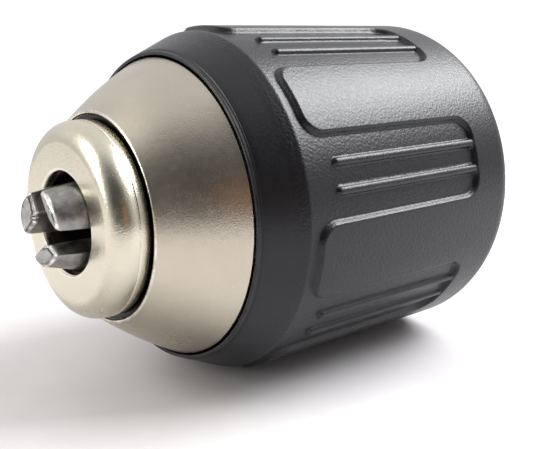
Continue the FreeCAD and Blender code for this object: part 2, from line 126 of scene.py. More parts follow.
def roundedOutline(corners, arcSteps=9, hold=0.07, spacing=1.0):
    # Each corner is (radius, forward, rounding). A rounding is the arc tangent to both
    # sides, cut down where two roundings would meet, and a point is held just off each
    # end of it to keep flat faces flat. Long straights get points no further apart than
    # spacing. The closed outline comes back with how sharp it is at each point, which is
    # (sharpRound / rounding) squared, at most 1, and 0 on the straights.
    path, bend = [], []
    count = len(corners)
    for k in range(count):
        here = np.array(corners[k][:2], float)
        before = np.array(corners[k - 1][:2], float)
        after = np.array(corners[(k + 1) % count][:2], float)
        toBefore, toAfter = before - here, after - here
        u, v = (w / np.linalg.norm(w) for w in (toBefore, toAfter))
        half = math.acos(max(-1.0, min(1.0, float(u @ v)))) / 2
        rounding = max(corners[k][2], 0.01)
        limit = [0.92 * rounding / (rounding + max(other[2], 0.01))
                 for other in (corners[k - 1], corners[(k + 1) % count])]
        reach = min(rounding / math.tan(half), limit[0] * np.linalg.norm(toBefore),
                    limit[1] * np.linalg.norm(toAfter))
        rounding = reach * math.tan(half)
        middle = (u + v) / np.linalg.norm(u + v)
        centre = here + middle * rounding / math.sin(half)
        a, b = here + u * reach - centre, here + v * reach - centre
        turn = math.atan2(a[0] * b[1] - a[1] * b[0], a @ b)
        t = np.linspace(0, turn, arcSteps)
        arc = centre + np.stack([a[0] * np.cos(t) - a[1] * np.sin(t),
                                 a[0] * np.sin(t) + a[1] * np.cos(t)], -1)
        near = min(hold, 0.2 * reach + 0.01)
        path += [here + u * (reach + near)] + list(arc) + [here + v * (reach + near)]
        bend += [0.0] + [min(1.0, (sharpRound / rounding) ** 2)] * arcSteps + [0.0]
    path, bend = np.array(path), np.array(bend)
    gap = np.linalg.norm(np.roll(path, -1, 0) - path, axis=1)
    extra = np.maximum(np.ceil(gap / spacing).astype(int), 1)
    start = np.repeat(np.arange(len(path)), extra)
    share = (np.arange(extra.sum()) - np.repeat(np.cumsum(extra) - extra, extra)) \
        / np.repeat(extra, extra)
    after = (start + 1) % len(path)
    path = path[start] * (1 - share[:, None]) + path[after] * share[:, None]
    return path, np.where(share > 0, 0.0, bend[start])


def turnedPiece(name, corners, material, around=288, bulge=None, paintedShadeInside=None):
    # an outline carried once round the axis; bulge adds to the radius along the outline,
    # and the inside mask, from 0 to 1, says which points are inside the chuck: their edge is
    # minus that, which paints them dark as shade
    path, bend = roundedOutline(corners)
    if bulge is not None:
        path[:, 0] += bulge(path[:, 0], path[:, 1])
    if paintedShadeInside is not None:
        inside = paintedShadeInside(path[:, 0], path[:, 1])
        bend = bend * (1 - inside) - inside
    angle = np.arange(around) * (2 * math.pi / around)
    grid = toFrame(path[:, :1], path[:, 1:], angle)
    return closedGrid(name, grid, material, np.repeat(bend[:, None], around, 1))


def smooth(t):
    # 3t^2 - 2t^3 between 0 and 1, so that it starts and ends level
    t = np.clip(t, 0, 1)
    return t * t * (3 - 2 * t)


def reachOf(node):
    # a CAD node's largest radius, and its rear and front ends, in millimetres
    low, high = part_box(node)
    return high.z / mm, -high.y / mm, -low.y / mm


def finishPiece(piece, body, slotName, *nodes):
    # even shading, then the body it rides on and the CAD nodes it replaces; the slot is not
    # used
    weighted = piece.modifiers.new("flats", "WEIGHTED_NORMAL")
    weighted.keep_sharp = True
    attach(piece, body)
    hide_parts(*nodes)
    print("made", piece.name, len(piece.data.polygons), "faces")


# material parts

def newGroup(name, inputs, outputs):
    # inputs are (label, kind, value), outputs (label, kind)
    group = bpy.data.node_groups.new(name, "ShaderNodeTree")
    for label, kind, value in inputs:
        socket = group.interface.new_socket(name=label, in_out="INPUT", socket_type=kind)
        if value is not None:
            socket.default_value = value
    for label, kind in outputs:
        group.interface.new_socket(name=label, in_out="OUTPUT", socket_type=kind)
    return group, group.nodes.new("NodeGroupInput"), group.nodes.new("NodeGroupOutput")


def addNode(tree, kind, settings=None, **links):
    # a node with its properties set; each link names an input, with _ for a space, or is
    # i and the input's number, and holds a socket to link or a value to set
    made = tree.nodes.new(kind)
    for key, value in (settings or {}).items():
        setattr(made, key, value)
    for key, value in links.items():
        label = key.replace("_", " ")
        target = made.inputs[int(key[1:])] if key[1:].isdigit() else made.inputs[label]
        if isinstance(value, bpy.types.NodeSocket):
            tree.links.new(value, target)
        else:
            target.default_value = value
    return made


def mathNode(tree, operation, a, b=0.0, c=0.0, clamp=False):
    # one step of arithmetic; clamp keeps what comes out from 0 to 1
    made = addNode(tree, "ShaderNodeMath", {"operation": operation, "use_clamp": clamp},
                   i0=a, i1=b, i2=c)
    return made.outputs[0]


def ramp(tree, value, low, high, toLow=0.0, toHigh=1.0):
    # a smooth step from toLow to toHigh as the value goes from low to high
    made = addNode(tree, "ShaderNodeMapRange", {"interpolation_type": "SMOOTHSTEP"},
                   Value=value, From_Min=low, From_Max=high, To_Min=toLow, To_Max=toHigh)
    return made.outputs["Result"]


def mixColour(tree, factor, a, b):
    # a where the factor is 0, b where it is 1
    made = addNode(tree, "ShaderNodeMix", {"data_type": "RGBA"}, i0=factor, i6=a, i7=b)
    return made.outputs[2]


def noise(tree, vector, scale, detail=3.0, rough=0.5, distortion=0.0):
    # cloudy values round a half
    made = addNode(tree, "ShaderNodeTexNoise", None, Vector=vector, Scale=scale,
                   Detail=detail, Roughness=rough, Distortion=distortion)
    return made.outputs["Fac"]


vectorKind, valueKind = "NodeSocketVector", "NodeSocketFloat"


def makeLeatherGrain():
    # the grain of a spark-eroded mould: rounded cells, with finer and coarser noise added,
    # and pits where the sum is low
    group, inside, out = newGroup("leatherGrain", [
        ("Vector", vectorKind, None), ("Cell Size", valueKind, 0.0004),
        ("Softness", valueKind, 0.5)], [("Height", valueKind), ("Pits", valueKind)])
    scale = mathNode(group, "DIVIDE", 1.0, inside.outputs["Cell Size"])
    vector = inside.outputs["Vector"]
    warp = noise(group, vector, mathNode(group, "MULTIPLY", scale, 0.6), 2.0)
    cells = addNode(group, "ShaderNodeTexVoronoi", {"feature": "SMOOTH_F1"},
                    Vector=vector, Scale=scale, Smoothness=inside.outputs["Softness"])
    fine = noise(group, vector, mathNode(group, "MULTIPLY", scale, 2.3), 3.0, 0.6)
    rounded = mathNode(group, "SUBTRACT", 1.0, cells.outputs["Distance"])
    height = mathNode(group, "MULTIPLY_ADD", fine, 0.55, rounded)
    height = mathNode(group, "MULTIPLY_ADD", warp, 0.5, height)
    group.links.new(height, out.inputs["Height"])
    group.links.new(ramp(group, height, 1.25, 0.95), out.inputs["Pits"])
    return group


def makeBlastGrain():
    # bead-blasted or satin metal: fine dents plus 0.6 of coarser ones, slow clouds, and
    # a speckle where the coarse dents stand high
    group, inside, out = newGroup("blastGrain", [
        ("Vector", vectorKind, None), ("Dent Size", valueKind, 0.00012),
        ("Cloud Size", valueKind, 0.006)],
        [("Height", valueKind), ("Clouds", valueKind), ("Speckle", valueKind)])
    vector = inside.outputs["Vector"]
    scale = mathNode(group, "DIVIDE", 1.0, inside.outputs["Dent Size"])
    cloudScale = mathNode(group, "DIVIDE", 1.0, inside.outputs["Cloud Size"])
    dents = noise(group, vector, scale, 2.0, 0.6)
    coarse = noise(group, vector, mathNode(group, "MULTIPLY", scale, 0.22), 3.0, 0.6)
    group.links.new(mathNode(group, "MULTIPLY_ADD", coarse, 0.6, dents), out.inputs["Height"])
    group.links.new(noise(group, vector, cloudScale, 4.0, 0.55, 0.4), out.inputs["Clouds"])
    group.links.new(ramp(group, coarse, 0.42, 0.62), out.inputs["Speckle"])
    return group


def makeTurning():
    # rings left by a lathe tool: noise along one line, of the distance along the axis
    # plus 1.3 times the distance from it
    group, inside, out = newGroup("turningRings", [
        ("Vector", vectorKind, None), ("Ring Size", valueKind, 0.0001)],
        [("Height", valueKind)])
    parts = addNode(group, "ShaderNodeSeparateXYZ", None, Vector=inside.outputs["Vector"])
    square = mathNode(group, "MULTIPLY", parts.outputs[0], parts.outputs[0])
    square = mathNode(group, "MULTIPLY_ADD", parts.outputs[2], parts.outputs[2], square)
    radius = mathNode(group, "SQRT", square)
    where = mathNode(group, "MULTIPLY_ADD", radius, 1.3, parts.outputs[1])
    scale = mathNode(group, "DIVIDE", 1.0, inside.outputs["Ring Size"])
    line = addNode(group, "ShaderNodeTexNoise", {"noise_dimensions": "1D"}, W=where,
                   Scale=scale, Detail=3.0, Roughness=0.65)
    group.links.new(line.outputs["Fac"], out.inputs["Height"])
    return group


def makeScratches():
    # short fine scratches: the peaks of noise stretched in two directions, kept in
    # patches
    group, inside, out = newGroup("fineScratches", [
        ("Vector", vectorKind, None), ("Amount", valueKind, 0.5),
        ("Length", valueKind, 0.004), ("Turn", vectorKind, (0.4, 0.2, 0.7))],
        [("Mask", valueKind)])
    vector = inside.outputs["Vector"]
    scale = mathNode(group, "DIVIDE", 1.0, inside.outputs["Length"])
    found = []
    for turn, stretch in ((0.0, (1.0, 26.0, 26.0)), (1.1, (24.0, 1.0, 30.0))):
        turned = addNode(group, "ShaderNodeVectorRotate", {"rotation_type": "EULER_XYZ"},
                         Vector=vector, Rotation=inside.outputs["Turn"]).outputs[0]
        turned = addNode(group, "ShaderNodeVectorRotate", {"rotation_type": "Z_AXIS"},
                         Vector=turned, Angle=turn).outputs[0]
        thin = addNode(group, "ShaderNodeVectorMath", {"operation": "MULTIPLY"},
                       i0=turned, i1=stretch).outputs[0]
        line = noise(group, thin, scale, 2.0, 0.5)
        found.append(ramp(group, line, 0.66, 0.72))
    both = mathNode(group, "MAXIMUM", found[0], found[1])
    patch = noise(group, vector, mathNode(group, "MULTIPLY", scale, 0.7), 2.0)
    mask = mathNode(group, "MULTIPLY", both, ramp(group, patch, 0.42, 0.6))
    group.links.new(mathNode(group, "MULTIPLY", mask, inside.outputs["Amount"]),
                    out.inputs["Mask"])
    return group


def makeEdgeWearAndHighlight():
    # rubbed edges, and the painted highlight on the sleeve's lip: the piece's own edge value,
    # broken up by noise
    group, inside, out = newGroup("edgeWearAndHighlight", [
        ("Vector", vectorKind, None), ("Edge", valueKind, 0.0),
        ("Patch Size", valueKind, 0.0015), ("Amount", valueKind, 0.5)], [("Mask", valueKind)])
    scale = mathNode(group, "DIVIDE", 1.0, inside.outputs["Patch Size"])
    broken = ramp(group, noise(group, inside.outputs["Vector"], scale, 4.0, 0.65), 0.36, 0.62)
    mask = mathNode(group, "MULTIPLY", inside.outputs["Edge"], broken)
    group.links.new(mathNode(group, "MULTIPLY", mask, inside.outputs["Amount"]),
                    out.inputs["Mask"])
    return group


leatherGrain, blastGrain, turningRings = makeLeatherGrain(), makeBlastGrain(), makeTurning()
fineScratches, edgeWearAndHighlight = makeScratches(), makeEdgeWearAndHighlight()


def startMaterial(name):
    # a material with its tree, its shader and the place on the object
    material = bpy.data.materials.new(name)
    material.use_nodes = True
    tree = material.node_tree
    shader = tree.nodes["Principled BSDF"]
    place = tree.nodes.new("ShaderNodeTexCoord").outputs["Object"]
    return material, tree, shader, place


def placeGroup(tree, group, **links):
    # a node group set into a material with its own values
    return addNode(tree, "ShaderNodeGroup", {"node_tree": group}, **links)


def addBump(tree, shader, layers):
    # each layer is (height, depth in metres), and stacks on the one before
    normal = None
    for height, depth in layers:
        bump = addNode(tree, "ShaderNodeBump", None, Height=height, Distance=depth,
                       Strength=1.0)
        if normal is not None:
            tree.links.new(normal, bump.inputs["Normal"])
        normal = bump.outputs["Normal"]
    tree.links.new(normal, shader.inputs["Normal"])


# what rubbing does on every metal, and the near-black painted shade deep inside the chuck;
# the roughness values are added
metalShared = {
    "patchSize": 0.0012, "edgeRoughness": -0.12, "scratchRoughness": -0.08,
    "scratchDepth": 0.000004, "speckleShare": 0.6,
    # near-black painted shade for metal deep inside the chuck, and how much of it
    "insideShadeColour": (0.012, 0.011, 0.010, 1), "insideShadeShare": 0.96,
}


def makeMetal(name, look):
    # one metal finish, blasted, turned or ground: clouds between two colours, brightened
    # on scratches and rubbed edges and darkened with painted shade where the edge value is
    # negative, deep inside the chuck
    shared = metalShared
    material, tree, shader, place = startMaterial(name)
    grain = placeGroup(tree, blastGrain, Vector=place, Dent_Size=look["dentSize"],
                       Cloud_Size=look["cloudSize"])
    scratch = placeGroup(tree, fineScratches, Vector=place, Amount=look["scratches"],
                         Length=look["scratchLength"])
    edge = addNode(tree, "ShaderNodeAttribute", {"attribute_name": "edge"})
    # painted shade: how far inside the chuck the point is, from its negative edge value
    inside = mathNode(tree, "MULTIPLY", edge.outputs["Fac"], -1.0, clamp=True)
    edgeMask = placeGroup(tree, edgeWearAndHighlight, Vector=place,
                      Edge=mathNode(tree, "MAXIMUM", edge.outputs["Fac"], 0.0),
                      Patch_Size=shared["patchSize"], Amount=look["edgeShine"])
    clouds = ramp(tree, grain.outputs["Clouds"], 0.3, 0.7)
    colour = mixColour(tree, clouds, look["colour"], look["cloudColour"])
    colour = mixColour(tree, scratch.outputs["Mask"], colour, look["brightColour"])
    colour = mixColour(tree, edgeMask.outputs["Mask"], colour, look["brightColour"])
    # the painted shade, nearly black, deep inside the chuck
    colour = mixColour(tree, mathNode(tree, "MULTIPLY", inside, shared["insideShadeShare"]), colour,
                       shared["insideShadeColour"])
    tree.links.new(colour, shader.inputs["Base Color"])
    rough = mathNode(tree, "MULTIPLY_ADD", clouds, look["roughnessSpread"], look["roughness"])
    rough = mathNode(tree, "MULTIPLY_ADD", grain.outputs["Speckle"],
                     look["roughnessSpread"] * shared["speckleShare"], rough)
    rough = mathNode(tree, "MULTIPLY_ADD", edgeMask.outputs["Mask"], shared["edgeRoughness"], rough)
    rough = mathNode(tree, "MULTIPLY_ADD", scratch.outputs["Mask"],
                     shared["scratchRoughness"], rough, clamp=True)
    tree.links.new(rough, shader.inputs["Roughness"])
    shader.inputs["Metallic"].default_value = 1.0
    layers = [(grain.outputs["Height"], look["dentDepth"])]
    if look.get("ringDepth"):
        rings = placeGroup(tree, turningRings, Vector=place, Ring_Size=look["ringSize"])
        layers.append((rings.outputs["Height"], look["ringDepth"]))
    layers.append((mathNode(tree, "MULTIPLY", scratch.outputs["Mask"], -1.0),
                   shared["scratchDepth"]))
    addBump(tree, shader, layers)
    return material


metalLook = {
    "nickelShell": {
        "colour": (0.49, 0.445, 0.365, 1), "cloudColour": (0.54, 0.495, 0.405, 1),
        "brightColour": (0.80, 0.77, 0.69, 1), "roughness": 0.27, "roughnessSpread": 0.05,
        "dentSize": 0.00015, "dentDepth": 0.000017, "cloudSize": 0.009,
        "scratches": 0.25, "scratchLength": 0.005, "edgeShine": 0.9,
    },
    "nickelCap": {
        "colour": (0.60, 0.56, 0.455, 1), "cloudColour": (0.64, 0.595, 0.48, 1),
        "brightColour": (0.88, 0.84, 0.75, 1), "roughness": 0.20, "roughnessSpread": 0.06,
        "dentSize": 0.00020, "dentDepth": 0.000014, "cloudSize": 0.005,
        "scratches": 0.3, "scratchLength": 0.003, "edgeShine": 0.6,
    },
    "groundJaw": {
        "colour": (0.25, 0.245, 0.24, 1), "cloudColour": (0.44, 0.435, 0.42, 1),
        "brightColour": (0.82, 0.81, 0.78, 1), "roughness": 0.27, "roughnessSpread": 0.14,
        "dentSize": 0.00022, "dentDepth": 0.000026, "cloudSize": 0.0011,
        "scratches": 1.0, "scratchLength": 0.0016, "edgeShine": 1.0,
    },
    "darkSteel": {
        "colour": (0.085, 0.08, 0.078, 1), "cloudColour": (0.13, 0.12, 0.115, 1),
        "brightColour": (0.42, 0.40, 0.38, 1), "roughness": 0.36, "roughnessSpread": 0.14,
        "dentSize": 0.0003, "dentDepth": 0.00001, "cloudSize": 0.004, "ringSize": 0.00012,
        "ringDepth": 0.000008, "scratches": 0.3, "scratchLength": 0.004, "edgeShine": 0.5,
    },
    "zincPlate": {
        "colour": (0.50, 0.50, 0.52, 1), "cloudColour": (0.60, 0.595, 0.60, 1),
        "brightColour": (0.82, 0.82, 0.83, 1), "roughness": 0.30, "roughnessSpread": 0.14,
        "dentSize": 0.0004, "dentDepth": 0.00001, "cloudSize": 0.003, "ringSize": 0.0003,
        "ringDepth": 0.000004, "scratches": 0.5, "scratchLength": 0.004, "edgeShine": 0.7,
    },
    "bluedSpring": {
        "colour": (0.12, 0.12, 0.14, 1), "cloudColour": (0.18, 0.175, 0.19, 1),
        "brightColour": (0.55, 0.55, 0.56, 1), "roughness": 0.28, "roughnessSpread": 0.15,
        "dentSize": 0.0002, "dentDepth": 0.000006, "cloudSize": 0.003,
        "scratches": 0.5, "scratchLength": 0.003, "edgeShine": 0.8,
    },
    "sinteredNut": {
        "colour": (0.23, 0.22, 0.21, 1), "cloudColour": (0.32, 0.31, 0.30, 1),
        "brightColour": (0.60, 0.58, 0.56, 1), "roughness": 0.42, "roughnessSpread": 0.15,
        "dentSize": 0.00018, "dentDepth": 0.00002, "cloudSize": 0.002,
        "scratches": 0.3, "scratchLength": 0.003, "edgeShine": 0.6,
    },
    "polishedBearing": {
        "colour": (0.62, 0.62, 0.63, 1), "cloudColour": (0.70, 0.70, 0.71, 1),
        "brightColour": (0.9, 0.9, 0.9, 1), "roughness": 0.1, "roughnessSpread": 0.07,
        "dentSize": 0.0003, "dentDepth": 0.000002, "cloudSize": 0.002, "ringSize": 0.0001,
        "ringDepth": 0.000002, "scratches": 0.4, "scratchLength": 0.002, "edgeShine": 0.3,
    },
}

plasticLook = {
    "gripNylon": {
        "colour": (0.0020, 0.0021, 0.0040, 1), "raisedColour": (0.0028, 0.0030, 0.0056, 1),
        # the rubbed colour is also the painted highlight on the sleeve's lip
        "rubbedAndHighlightColour": (0.030, 0.029, 0.036, 1), "roughness": 0.29, "roughnessSpread": 0.05,
        "cellSize": 0.00030, "cellDepth": 0.000022, "smoothFrom": 0.0338, "edgeRubAndHighlight": 0.35,
    },
    "cageNylon": {
        "colour": (0.42, 0.37, 0.26, 1), "raisedColour": (0.48, 0.43, 0.31, 1),
        "rubbedAndHighlightColour": (0.6, 0.55, 0.44, 1), "roughness": 0.45, "roughnessSpread": 0.1,
        "cellSize": 0.0003, "cellDepth": 0.00001, "smoothFrom": 1.0, "edgeRubAndHighlight": 0.3,
    },
}


# what every moulded plastic shares; the roughness values are added
plasticShared = {
    "cellSoftness": 0.6, "fineSize": 0.00009, "fineDepth": 0.000006, "cloudSize": 0.007,
    "cloudShare": 0.35, "cloudRoughness": 0.06, "smoothShare": 0.15, "smoothFade": 0.001,
    "scratches": 0.25, "scratchLength": 0.006, "patchSize": 0.002,
    "rubbedAndHighlightShare": 0.6, "rubbedRoughness": -0.08,
}


def makePlastic(name, look):
    # moulded plastic with a leathery grain, shallower in front of smoothFrom: pits in one
    # colour, cells and clouds in another, and a third on rubbed edges and scratches, which
    # is also painted on the sleeve's lip as a highlight
    shared = plasticShared
    material, tree, shader, place = startMaterial(name)
    grain = placeGroup(tree, leatherGrain, Vector=place, Cell_Size=look["cellSize"],
                       Softness=shared["cellSoftness"])
    clouds = placeGroup(tree, blastGrain, Vector=place, Dent_Size=shared["fineSize"],
                        Cloud_Size=shared["cloudSize"])
    scratch = placeGroup(tree, fineScratches, Vector=place, Amount=shared["scratches"],
                         Length=shared["scratchLength"])
    edge = addNode(tree, "ShaderNodeAttribute", {"attribute_name": "edge"})
    edgeMask = placeGroup(tree, edgeWearAndHighlight, Vector=place, Edge=edge.outputs["Fac"],
                      Patch_Size=shared["patchSize"], Amount=look["edgeRubAndHighlight"])
    forward = addNode(tree, "ShaderNodeSeparateXYZ", None, Vector=place).outputs[1]
    forward = mathNode(tree, "MULTIPLY", forward, -1.0)
    grained = ramp(tree, forward, look["smoothFrom"], look["smoothFrom"] + shared["smoothFade"],
                   1.0, shared["smoothShare"])
    colour = mixColour(tree, grain.outputs["Pits"], look["raisedColour"], look["colour"])
    cloudy = mathNode(tree, "MULTIPLY", clouds.outputs["Clouds"], shared["cloudShare"])
    colour = mixColour(tree, cloudy, colour, look["raisedColour"])
    # rubbed edges and scratches, and the painted highlight on the sleeve's lip
    rubbedAndHighlight = mathNode(tree, "MAXIMUM", edgeMask.outputs["Mask"], scratch.outputs["Mask"])
    colour = mixColour(tree, mathNode(tree, "MULTIPLY", rubbedAndHighlight, shared["rubbedAndHighlightShare"]), colour,
                       look["rubbedAndHighlightColour"])
    tree.links.new(colour, shader.inputs["Base Color"])
    rough = mathNode(tree, "MULTIPLY_ADD", grain.outputs["Pits"], look["roughnessSpread"],
                     look["roughness"])
    rough = mathNode(tree, "MULTIPLY_ADD", clouds.outputs["Clouds"], shared["cloudRoughness"],
                     rough)
    rough = mathNode(tree, "MULTIPLY_ADD", rubbedAndHighlight, shared["rubbedRoughness"], rough, clamp=True)
    tree.links.new(rough, shader.inputs["Roughness"])
    shader.inputs["IOR"].default_value = 1.5
    shader.inputs["Specular IOR Level"].default_value = 0.43
    height = mathNode(tree, "MULTIPLY", grain.outputs["Height"], grained)
    addBump(tree, shader, [(height, look["cellDepth"]),
                           (clouds.outputs["Height"], shared["fineDepth"])])
    return material


finishes = {name: makeMetal(name, look) for name, look in metalLook.items()}
finishes.update({name: makePlastic(name, look) for name, look in plasticLook.items()})
print("materials made:", len(finishes))

# what each record slot is finished in
slotFinish = {
    "dark_steel": "darkSteel", "nickel_cap": "nickelCap", "nickel_shell": "nickelShell",
    "black_nylon": "gripNylon", "zinc_plate": "zincPlate", "spring_steel": "bluedSpring",
    "race_steel": "polishedBearing", "ball_steel": "polishedBearing",
    "cage_plastic": "cageNylon", "nut_steel": "sinteredNut", "jaw_steel": "groundJaw",
}
for entry in frame["record"]["subparts"]:
    node = frame["nodes"][entry["node"]]
    node.data.materials.clear()
    node.data.materials.append(finishes[slotFinish[entry["material_slot"]]])

# grip sleeve
sleeveRadius, sleeveRear, sleeveFront = reachOf("grip_sleeve")
shellRadius, shellRear, shellFront = reachOf("nose_shell")
ringRadius, ringRear, ringFront = reachOf("drive_ring")

grip = {
    "boreRadius": 16.28,        # behind the drive ring
    "skirtRadius": 15.3,        # round the shell's skirt
    "rearRound": 2.4,
    "recessDepth": 0.55,
    "bandWidth": 0.8,           # smooth band in front of the panels
    "cornerRound": 0.9,
    "bevelAngle": 23.8,
    "lipWidth": 0.35,
    "grooveGap": 0.25,          # from the shell's rim out to the lip
    "grooveDepth": 0.6,
    "panels": 7,
    "fingerTurn": 14.9,         # where one ribbed recess stands
    "fingerHalf": 3.95,         # half of its width, along the surface
    "fingerRear": 7.2,          # from the sleeve's rear face
    "fingerCorner": 1.7,
    "panelCorner": 2.4,
    "wallWidth": 0.65,          # across the sloping side of a panel
    "ribSpacing": 2.84,
    "ribHalfWidth": 0.47,
    "ribHeight": 0.44,
    "ribSetBack": 3.3,          # from the panels' front end
}


def gripStations(g):
    # The sleeve's outline, round from its rear: a quarter circle, the panels' floor, an
    # arc through the bevel's angle, the bevel, the lip, the groove round the shell, and
    # the bore. Steps along the floor are finer where the pattern turns.
    slope = math.tan(math.radians(g["bevelAngle"]))
    floor = sleeveRadius - g["recessDepth"]
    grooveOuter = shellRadius + g["grooveGap"]
    grooveFloor = sleeveFront - g["grooveDepth"]
    lipOuter = grooveOuter + g["lipWidth"]
    corner = sleeveFront - (floor - lipOuter) / slope
    panelFront = corner - g["bandWidth"]
    fingerEnd = sleeveRear + g["fingerRear"]
    tangent = g["cornerRound"] * math.tan(math.radians(g["bevelAngle"] / 2))
    t = np.linspace(0, math.pi / 2, 13)
    rear = np.stack([floor - g["rearRound"] + g["rearRound"] * np.sin(t),
                     sleeveRear + g["rearRound"] * (1 - np.cos(t))], -1)
    steps = np.concatenate([
        np.arange(sleeveRear + g["rearRound"] + 0.6, fingerEnd - 0.75, 1.1),
        np.arange(fingerEnd - 0.7, fingerEnd + g["fingerCorner"] + 0.2, 0.13),
        np.arange(fingerEnd + g["fingerCorner"] + 1.0,
                  panelFront - g["ribSetBack"] - 1.0, 1.6),
        np.arange(panelFront - g["ribSetBack"] - 0.15, corner - tangent - 0.06, 0.13)])
    side = np.stack([0 * steps + floor, steps], -1)
    t = np.linspace(0, math.radians(g["bevelAngle"]), 9)
    bend = np.stack([floor - g["cornerRound"] * (1 - np.cos(t)),
                     corner - tangent + g["cornerRound"] * np.sin(t)], -1)
    # two points on the bevel, then a small rounded step up to the lip's flat front, each
    # given by how far out from the lip's rim and how far back from the front it is
    lip = [(1.2 * slope, 1.2), (0.54 * slope, 0.54), (0.48 * slope, 0.5), (0.16, 0.48),
           (0.09, 0.46), (0.05, 0.38), (0.04, 0.12), (0.01, 0.05), (-0.07, 0.0)]
    front = [(lipOuter + out, sleeveFront - back) for out, back in lip]
    front += [(grooveOuter + 0.09, sleeveFront), (grooveOuter + 0.02, sleeveFront - 0.03),
              (grooveOuter, sleeveFront - 0.09), (grooveOuter, grooveFloor),
              (g["skirtRadius"], grooveFloor), (g["skirtRadius"], ringFront),
              (ringRadius, ringFront), (ringRadius, ringRear), (g["boreRadius"], ringRear)]
    mouth = [(0.0, 0.6), (0.02, 0.25), (0.12, 0.07), (0.3, 0.0)]    # the bore's rear edge
    front += [(g["boreRadius"] + out, sleeveRear + ahead) for out, ahead in mouth]
    outer = np.concatenate([rear, side, bend])
    path = np.concatenate([outer, np.array(front)])
    patterned = np.arange(len(path)) < len(outer)
    # the lip's front, which gets a painted highlight
    lipHighlight = (path[:, 1] > sleeveFront - 0.13) & (path[:, 0] < lipOuter + 0.1)
    return path, patterned, lipHighlight, floor, panelFront, fingerEnd


def gripColumns(g, floor):
    # Angles round the sleeve, and how far each is from the middle of its own recess along
    # the surface. One side of a repeat is worked out and mirrored.
    pitch = 2 * math.pi * floor / g["panels"]
    half = g["fingerHalf"]
    rib = g["ribSpacing"] / 2
    ribEdge = rib + g["ribHalfWidth"]
    wallEnd = half + g["wallWidth"]
    acrossRib = np.sin(np.linspace(-1, 1, 9) * math.pi / 2) * g["ribHalfWidth"]
    positive = np.concatenate([
        [rib - g["ribHalfWidth"] - 0.35], rib + acrossRib,
        np.arange(ribEdge + 0.15, half - 0.15, 0.16),                       # the floor
        np.arange(half - 0.1, wallEnd + 0.12, 0.08),                        # the wall
        np.arange(wallEnd + 0.2, half + g["panelCorner"] + 0.3, 0.17)])     # the corners
    rest = np.linspace(positive[-1], pitch / 2, 5)[1:]
    arc = np.concatenate([-rest[::-1][1:], -positive[::-1], [0.0], positive, rest])
    repeats = np.arange(g["panels"])[:, None] * 2 * math.pi / g["panels"]
    angles = arc / floor + math.radians(g["fingerTurn"]) + repeats
    return angles.ravel(), np.tile(arc, g["panels"])


def makeGrip(g):
    # Radius = outline + the higher of the panel and the ribs. The recess is a rounded box
    # joined to the front band by a rounded corner, both as distances along the surface,
    # and the panel rises across its wall by 6t^5 - 15t^4 + 10t^3. A rib is a rounded bar,
    # its height times (1 - (distance / half width)^2)^0.4. The rubbed edges are the upper
    # part of each wall and the ribs' tops; the lip gets a painted highlight in the same
    # lighter colour.
    path, patterned, lipHighlight, floor, panelFront, fingerEnd = gripStations(g)
    angle, arc = gripColumns(g, floor)
    across, along = np.abs(arc)[None, :], path[:, 1][:, None]
    side, end, front = across - g["fingerHalf"], fingerEnd - along, panelFront - along
    r = g["fingerCorner"]
    box = np.minimum(-r, np.maximum(side, end)) + np.hypot(
        np.maximum(r + side, 0), np.maximum(r + end, 0))
    r = g["panelCorner"]
    away = np.maximum(r, np.minimum(box, front)) - np.hypot(
        np.maximum(r - box, 0), np.maximum(r - front, 0))
    t = np.clip(away / g["wallWidth"], 0, 1)
    raised = t * t * t * (t * (6 * t - 15) + 10)
    ribStart = fingerEnd - g["wallWidth"]
    ribEnd = panelFront - g["ribSetBack"]
    past = np.maximum(along - ribEnd, 0) + np.maximum(ribStart - along, 0)
    ribAway = np.hypot(across - g["ribSpacing"] / 2, past) / g["ribHalfWidth"]
    rib = g["ribHeight"] * np.clip(1 - ribAway ** 2, 0, 1) ** 0.4
    lift = np.maximum(raised * g["recessDepth"], rib * (across < g["fingerHalf"]))
    lift = lift * patterned[:, None]
    edge = np.maximum(4 * t * (1 - t) * (t > 0.35), 1.0 * (rib > 0.8 * g["ribHeight"]))
    # the lip's edge value of 2 paints a highlight there in the rubbed colour
    edge = np.maximum(edge * patterned[:, None], 2.0 * lipHighlight[:, None])
    radius = path[:, 0][:, None] + lift
    grid = toFrame(radius, along, angle)
    return closedGrid("gripSleeve", grid, finishes["gripNylon"], edge)


finishPiece(makeGrip(grip), "sleeve", "black_nylon", "grip_sleeve")

# nose shell and nose cap
capRadius, capRear, capFace = reachOf("nose_cap")

shell = {
    "coneAngle": 33.6, "sheet": 0.9, "bulge": 0.3, "gapToCap": 0.42, "lipRound": 0.85,
    "flangePlay": 0.3,      # behind the cap's rear end
    "flangeReach": 0.32,    # in under the cap
    "rimWidth": 0.3, "rimOverhang": 0.45,
}


